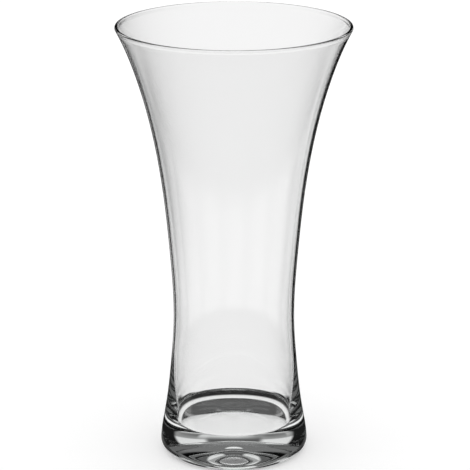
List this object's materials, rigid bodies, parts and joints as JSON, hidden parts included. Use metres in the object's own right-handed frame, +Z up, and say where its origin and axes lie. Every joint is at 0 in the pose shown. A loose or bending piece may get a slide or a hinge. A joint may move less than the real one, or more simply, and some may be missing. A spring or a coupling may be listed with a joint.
{
  "type": "trumpet vase",
  "caption": "Tall clear glass flower vase with a heavy rounded foot, a drawn-in waist and a wide trumpet mouth with a fire-polished lip.",
  "frame": {"origin": "centre of the standing ring under the foot, on the surface that the vase stands on", "axes": "+Z up along the axis of revolution, towards the mouth; +X and +Y are any two level directions square to each other, because the vase is round"},
  "size_m": [0.1584, 0.1584, 0.3],
  "materials": {
    "clear_glass": "fire-polished clear soda-lime glass"
  },
  "bodies": {
    "root": {"heavy_base": "clear_glass", "tapered_wall": "clear_glass", "flared_wall": "clear_glass", "rim_bead": "clear_glass"}
  },
  "joints": []
}
